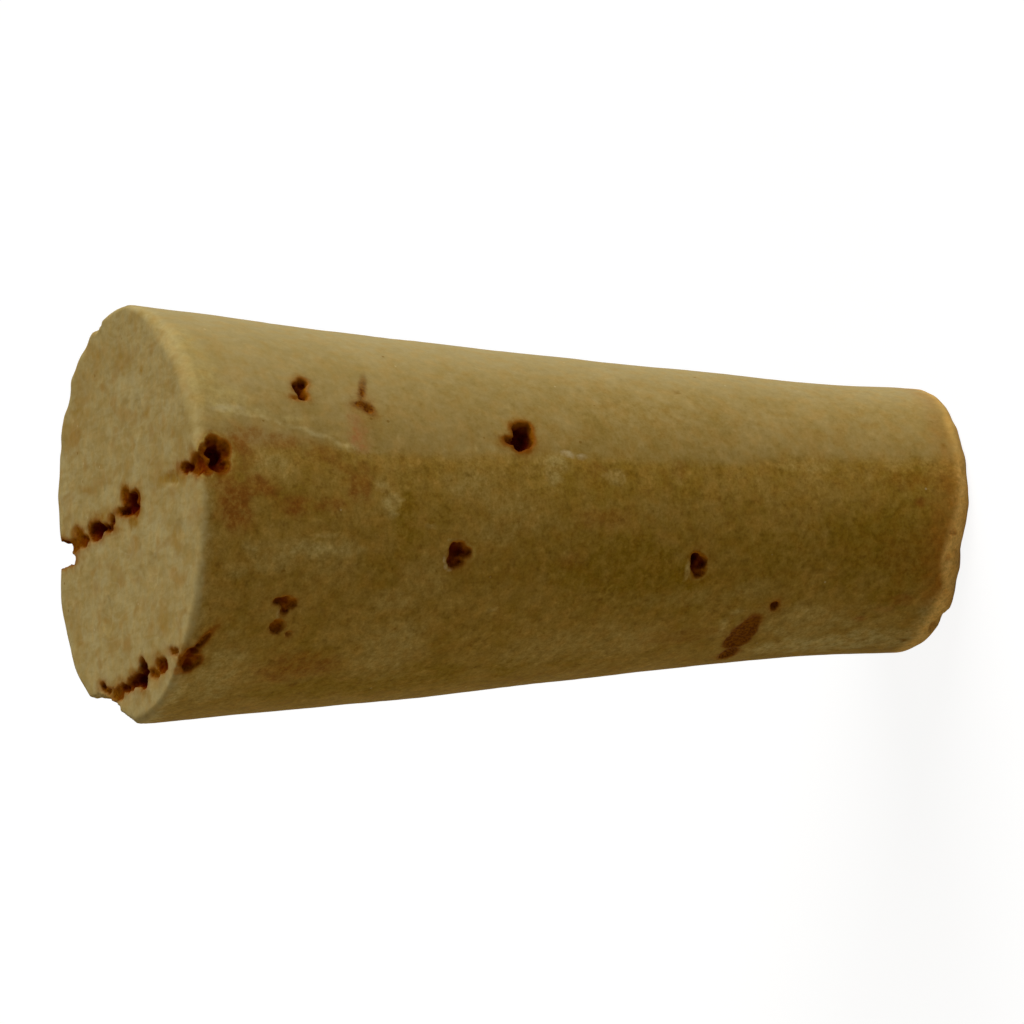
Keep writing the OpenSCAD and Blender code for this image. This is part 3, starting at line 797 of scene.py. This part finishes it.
def cork_material():
    material = bpy.data.materials.new("natural_cork")
    s = SkinNodes(material)
    mottle = s.noise(2.2, detail=3, roughness=0.6)
    patch = s.noise(0.6, detail=3, roughness=0.6)
    grain = s.noise(0.36, detail=3, roughness=0.7)
    hue = s.noise(0.55, detail=1, roughness=0.4)
    cells = s.noise(0.13, detail=1, roughness=0.75)
    flecks = s.noise(0.3, detail=1, roughness=0.6)
    blotch = s.noise(0.9, detail=1, stretch=(1, 1.8, 1), turn=GRAIN, distortion=0.5)
    veins = s.noise(1.0, detail=1, stretch=(1, 2.5, 1), turn=GRAIN, distortion=0.5)
    fibres = s.noise(0.35, detail=2, roughness=0.6, stretch=(1, 3.5, 1), turn=GRAIN / 2, distortion=0.4)

    # the side, its skin painted darker and more saturated as shade away from the key light and paler as light
    # towards it
    tone = s.between(s.plus(s.times(mottle, 0.5), s.times(patch, 0.5)), 0.38, 0.62)
    colour = s.mix(s.mask("pale_band_and_lit_side"), s.mix(tone, *DARK_TONE_AND_SHADED_SKIN), s.mix(tone, *PALE_BAND_AND_LIT_SKIN))
    # painted sheen along the edge that faces the key light
    colour = s.mix(s.times(s.mask("painted_sheen"), 0.45), colour, PAINTED_SHEEN_PALE)

    # the ends
    head = s.mix(s.between(s.plus(s.times(fibres, 0.45), s.times(mottle, 0.55)), 0.41, 0.59), *HEAD_SKIN)
    head = s.mix(s.between(fibres, 0.58, 0.70, 0, 0.25), head, HEAD_FIBRE)
    head = s.mix(s.between(blotch, 0.53, 0.72, 0, 0.7), head, HEAD_BLOTCH)
    vein = s.math("ABSOLUTE", s.plus(veins, -0.5))
    head = s.mix(s.between(vein, 0, 0.06, 0.22, 0), head, HEAD_VEIN)
    head = s.stain(head, HEAD_STAIN, "head_stain", patch, 0.35, 0.6, 0.4, 0.8)
    head = s.stain(head, HEAD_RED, "head_rust", grain, 0.4, 0.6, 0.9, 0.6)
    colour = s.mix(s.mask("head"), colour, head)

    # marks on the side and on the rims
    colour = s.stain(colour, OLIVE_BROWN, "olive", grain, 0.4, 0.6, 0.9, 0.5)
    colour = s.stain(colour, RED_BROWN, "rust", grain, 0.4, 0.6, 0.9, 0.45)
    colour = s.stain(colour, WORN_PALE_AND_PAINTED_LIGHT, "pale", grain, 0.4, 0.6, 0.42, 0.7)
    colour = s.stain(colour, SCAR_PINK, "scar", flecks, 0.38, 0.62, 0.65, 0.25)
    colour = s.mix(s.mask("dots"), colour, DOT_BROWN)
    colour = s.mix(s.mask("chalk"), colour, CHALK_WHITE)
    line = s.times(ring_line(s), s.mask("ring"))
    colour = s.mix(s.times(line, s.between(patch, 0.4, 0.6, 0.2, 0.6)), colour, RING_PALE)
    colour = s.stain(colour, FOOT_BROWN, "foot_rim", patch, 0.35, 0.6, 0.5, 1)
    # the foot's golden edge, painted bright as rim light
    colour = s.stain(colour, FOOT_GOLD_AND_RIM_LIGHT, "golden_edge_and_rim_light", patch, 0.3, 0.7, 0.8, 1)
    colour = s.stain(colour, HEAD_RIM_PALE, "head_rim", patch, 0.3, 0.7, 0.1, 0.35)

    # shifts of hue, then the fine grain: the share of each, its texture and range, and its shares
    colour = s.mix(s.between(hue, 0.5, 0.66, 0, 0.45), colour, WARMER, "MULTIPLY")
    colour = s.mix(s.between(hue, 0.5, 0.34, 0, 0.5), colour, COOLER, "MULTIPLY")
    fine = s.mask("fine")
    tiny = s.times(fine, s.between(s.mask("head"), 0, 1, 1, 0.3))
    for share, texture, low, high, share_low, share_high, tint in (
        (fine, grain, 0.36, 0.5, 0.4, 0, DARKER),
        (fine, grain, 0.5, 0.64, 0, 0.3, PALER),
        (tiny, cells, 0.34, 0.5, 0.32, 0, DARKER),
        (tiny, cells, 0.5, 0.68, 0, 0.32, PALER),
        (fine, flecks, 0.28, 0.4, 0.4, 0, DARKER),
        (fine, flecks, 0.6, 0.74, 0, 0.4, PALER),
    ):
        share = s.times(share, s.between(texture, low, high, share_low, share_high))
        colour = s.mix(share, colour, tint, "MULTIPLY")
    colour = s.mix(s.specks(1.5, 0.07, 0.5, 0), colour, PALE_SPECK)
    colour = s.mix(s.specks(1.6, 0.09, 0.6, 40), colour, DARK_SPECK)

    # the pits and what is round them
    glow = s.mix(s.between(grain, 0.42, 0.58), *GLOW)
    colour = s.stain(colour, glow, "glow", grain, 0.35, 0.65, 1, 0.6)
    colour = s.mix(s.times(s.mask("fringe"), 0.8), colour, FRINGE)
    colour = s.stain(colour, LIP, "lip", grain, 0.35, 0.6, 0.3, 0.9)
    colour = s.mix(s.mask("powder"), colour, s.mix(s.between(cells, 0.38, 0.62), *POWDER_RED))
    wall = s.mix(s.between(cells, 0.36, 0.64), *PIT_WALL)
    deeper = s.mix(s.between(flecks, 0.38, 0.62), *PIT_DEPTH)
    wall = s.mix(s.mask("bottom"), s.mix(s.mask("depth"), wall, deeper), PIT_BOTTOM)
    colour = s.mix(s.mask("wall"), colour, wall)
    # painted shade on pit walls that face the key light, and painted light on walls near a mouth that face
    # away from it
    colour = s.mix(s.times(s.mask("lit_wall_painted_shade"), 0.8), colour, PAINTED_SHADE_ON_LIT_WALLS, "MULTIPLY")
    colour = s.mix(s.times(s.mask("shaded_wall_painted_light"), 0.55), colour, PAINTED_LIGHT_ON_SHADED_WALLS)

    relief = s.plus(s.times(cells, 0.5), s.times(flecks, 0.6))
    bump = s.node("ShaderNodeBump", {"Height": relief, "Strength": 0.4, "Distance": 0.02 * MM})
    skin = s.node("ShaderNodeBsdfPrincipled", {
        "Base Color": colour,
        "Roughness": s.between(patch, 0.3, 0.7, 0.7, 0.85),
        "Specular IOR Level": s.between(s.mask("wall"), 0, 1, 0.04, 0),
        "Normal": bump.outputs[0],
    })
    s.node("ShaderNodeOutputMaterial", {"Surface": skin.outputs[0]})
    return material


# ---- Camera: where the photograph's frame sees the stopper
FRAME_PX = 1024
FOCAL_PX = 12000
HEAD_CENTRE_PX = (125.3, 515.5)
HEAD_DISTANCE = 543 * MM
AXIS_TILT = 0.398
AXIS_TURN = 0.006
SENSOR = 36
CLIP_START = 0.01


def set_camera():
    """Camera a quarter turn over: the stopper's axis lies level in the picture, its head to the left."""
    # the stopper's own directions, as the camera sees them
    down = Vector((math.cos(AXIS_TILT) * math.cos(AXIS_TURN), math.sin(AXIS_TURN) * math.cos(AXIS_TILT),
                   math.sin(AXIS_TILT)))
    left_side = down.cross(Vector((0, 0, 1))).normalized()
    back_side = down.cross(left_side)
    to_frame = Matrix((left_side, -back_side, -down))
    head = Vector([(px - FRAME_PX / 2) / FOCAL_PX for px in HEAD_CENTRE_PX] + [1])
    place = Vector((0, 0, LENGTH * MM)) - to_frame @ (head * HEAD_DISTANCE)
    flip = Matrix.Diagonal((1, -1, -1))
    camera = bpy.data.objects.new("camera", bpy.data.cameras.new("camera"))
    camera.data.sensor_width = SENSOR
    camera.data.lens = FOCAL_PX / FRAME_PX * SENSOR
    camera.data.clip_start = CLIP_START
    camera.matrix_world = Matrix.Translation(place) @ (to_frame @ flip).to_4x4()
    bpy.context.scene.collection.objects.link(camera)
    bpy.context.scene.camera = camera


# ---- Lights and floor
WHITE = (1, 1, 1)
FILL = (0.135, 0.12, 0.085)
SUN_SOFTNESS = 60
KEY_STRENGTH = 2.95
KEY_HEIGHT = math.radians(28)
KEY_FROM = (math.cos(KEY_HEIGHT), 0, math.sin(KEY_HEIGHT))
LOW_STRENGTH = 0.45
LOW_FROM = (-0.87, -0.5, 0.3)
LOW_COLOUR = (1, 0.9, 0.7)
FLOOR_HALF = 1.5
FLOOR_BOUNCE = (0.55, 0.52, 0.46)
FLOOR_SEEN = (0.9, 0.9, 0.9)
FLOOR_GLOW = 1.13
GLOW_SHARE = 0.8


def sun(name, direction, strength, colour):
    lamp = bpy.data.lights.new(name, "SUN")
    lamp.energy = strength
    lamp.angle = math.radians(SUN_SOFTNESS)
    lamp.color = colour
    holder = bpy.data.objects.new(name, lamp)
    holder.rotation_euler = Vector(direction).to_track_quat("Z", "Y").to_euler()
    bpy.context.scene.collection.objects.link(holder)


def set_world():
    """White for the camera, and a dim warm fill for the stopper."""
    world = bpy.data.worlds.new("studio")
    bpy.context.scene.world = world
    s = Nodes(world)
    fill = s.node("ShaderNodeBackground", {"Color": (*FILL, 1)})
    white = s.node("ShaderNodeBackground", {"Color": (*WHITE, 1)})
    choice = s.node("ShaderNodeMixShader", {0: s.seen(), 1: fill.outputs[0], 2: white.outputs[0]})
    s.node("ShaderNodeOutputWorld", {0: choice.outputs[0]})


def floor_material():
    """White for the camera, while what the floor throws back on the stopper is kept low."""
    material = bpy.data.materials.new("studio_floor")
    s = Nodes(material)
    direct = s.seen()
    matte = s.node("ShaderNodeBsdfDiffuse", {"Color": s.mix(direct, FLOOR_BOUNCE, FLOOR_SEEN)})
    glow = s.node("ShaderNodeEmission", {"Color": (*WHITE, 1), "Strength": FLOOR_GLOW})
    share = s.times(direct, GLOW_SHARE)
    mixed = s.node("ShaderNodeMixShader", {0: share, 1: matte.outputs[0], 2: glow.outputs[0]})
    s.node("ShaderNodeOutputMaterial", {0: mixed.outputs[0]})
    return material


def add_floor():
    mesh = bpy.data.meshes.new("floor")
    half = FLOOR_HALF
    corners = [(-half, -half, 0), (half, -half, 0), (half, half, 0), (-half, half, 0)]
    mesh.from_pydata(corners, [], [(0, 1, 2, 3)])
    mesh.materials.append(floor_material())
    floor = bpy.data.objects.new("floor", mesh)
    bpy.context.scene.collection.objects.link(floor)


cork = cork_mesh()
paint(cork)
cork.data.materials.append(cork_material())
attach(cork, "root")
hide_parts("stopper")

set_camera()
set_world()
sun("key", KEY_FROM, KEY_STRENGTH, WHITE)
sun("low", LOW_FROM, LOW_STRENGTH, LOW_COLOUR)
add_floor()

bpy.context.scene.view_settings.view_transform = "Standard"
